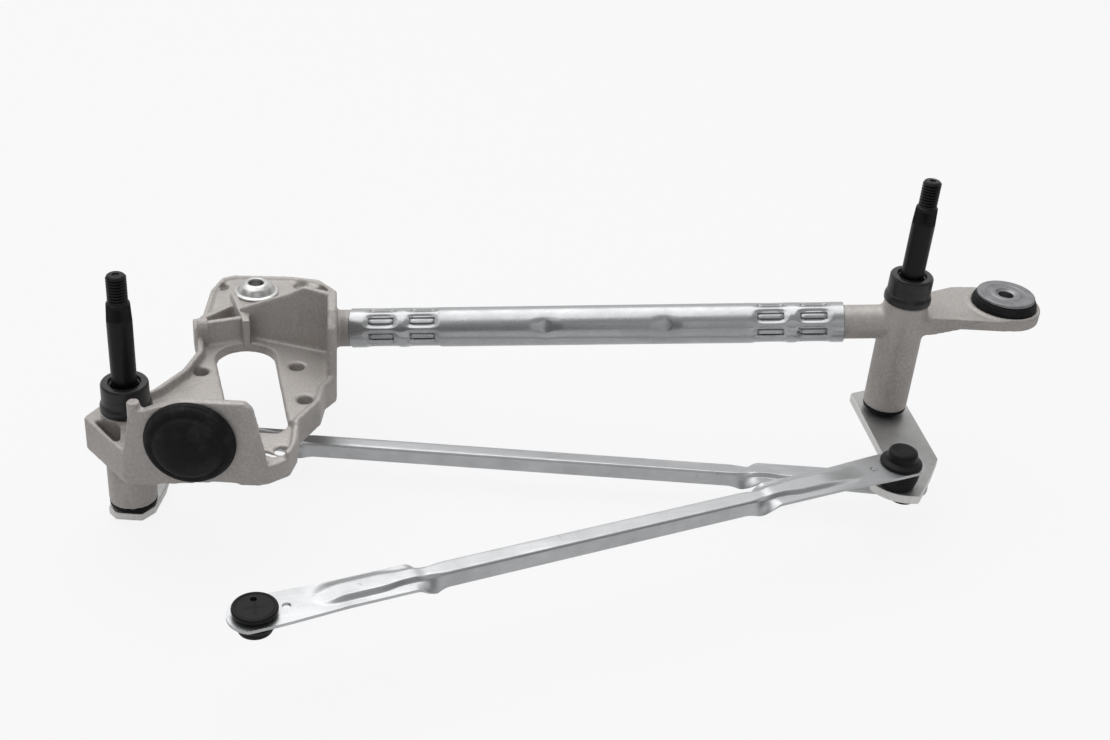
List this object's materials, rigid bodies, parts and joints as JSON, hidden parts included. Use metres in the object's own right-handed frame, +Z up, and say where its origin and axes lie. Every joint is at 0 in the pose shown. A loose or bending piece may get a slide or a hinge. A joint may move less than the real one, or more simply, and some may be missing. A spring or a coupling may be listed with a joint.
{
  "type": "wiper linkage",
  "caption": "Windscreen wiper linkage: cast motor bracket, frame tube, bearing bracket, wiper spindles with cranks and pressed ball-joint links.",
  "frame": {"origin": "on the left spindle's axis, at the shoulder where its wiper-arm thread begins", "axes": "+X towards the right spindle, +Y away from the side the picture was taken from, +Z up along both spindles"},
  "size_m": [0.4173, 0.2428, 0.1427],
  "materials": {
    "cast": "die cast, blasted",
    "tube_steel": "drawn, bright zinc plated",
    "link_steel": "pressed, zinc plated",
    "crank_steel": "blanked, zinc plated",
    "spindle_steel": "turned, black phosphated",
    "washer_steel": "spring steel",
    "socket_plastic": "moulded",
    "cap_plastic": "moulded",
    "rubber": "moulded",
    "bush_bronze": "sintered",
    "collar_steel": "bright zinc plated"
  },
  "bodies": {
    "frame": {"left_bracket": "cast", "frame_tube": "tube_steel", "right_bracket": "cast", "left_seal_cap": "cap_plastic", "right_seal_cap": "cap_plastic", "left_lower_bush": "bush_bronze", "right_lower_bush": "bush_bronze", "left_upper_bush": "bush_bronze", "right_upper_bush": "bush_bronze", "left_lower_washer": "washer_steel", "right_lower_washer": "washer_steel", "left_upper_washer": "washer_steel", "right_upper_washer": "washer_steel", "front_rubber_mount": "rubber", "ear_grommet": "rubber", "grommet_sleeve": "collar_steel", "rear_mount_collar": "collar_steel"},
    "left_crank": {"left_spindle": "spindle_steel", "left_crank_arm": "crank_steel", "left_retaining_ring": "washer_steel", "left_stud_tail": "crank_steel"},
    "right_crank": {"right_spindle": "spindle_steel", "right_crank_arm": "crank_steel", "right_retaining_ring": "washer_steel", "front_link_ball_stud": "crank_steel", "rear_link_ball_stud": "crank_steel"},
    "rear_link_body": {"rear_link": "link_steel", "rear_link_left_socket": "socket_plastic", "rear_link_right_socket": "socket_plastic", "rear_link_left_boot": "rubber", "rear_link_right_boot": "rubber", "left_ball_stud": "crank_steel"},
    "front_link_body": {"front_link": "link_steel", "front_link_right_socket": "socket_plastic", "front_link_free_socket": "socket_plastic", "front_link_right_boot": "rubber", "front_link_free_cover": "cap_plastic"}
  },
  "joints": [
    {"name": "left_spindle_turn", "type": "hinge", "parent": "frame", "child": "left_crank", "pos_m": [0, 0, 0], "axis": [0, 0, 1], "range_deg": [-30, 30]},
    {"name": "right_spindle_turn", "type": "hinge", "parent": "frame", "child": "right_crank", "pos_m": [0.335, 0, 0], "axis": [0, 0, 1], "range_deg": [-30.4, 30.4]},
    {"name": "rear_link_swing", "type": "hinge", "parent": "right_crank", "child": "rear_link_body", "pos_m": [0.33042, -0.04024, -0.08645], "axis": [0, 0, 1], "range_deg": [-30.4, 30.4]},
    {"name": "front_link_swing", "type": "hinge", "parent": "right_crank", "child": "front_link_body", "pos_m": [0.31587, -0.0575, -0.06295], "axis": [0, 0, 1], "range_deg": [-30.4, 30.4]}
  ],
  "couplings": [
    {"joint": "right_spindle_turn", "follows": "left_spindle_turn", "ratio": -1.01},
    {"joint": "rear_link_swing", "follows": "left_spindle_turn", "ratio": 1.01},
    {"joint": "front_link_swing", "follows": "left_spindle_turn", "ratio": 1.01}
  ]
}
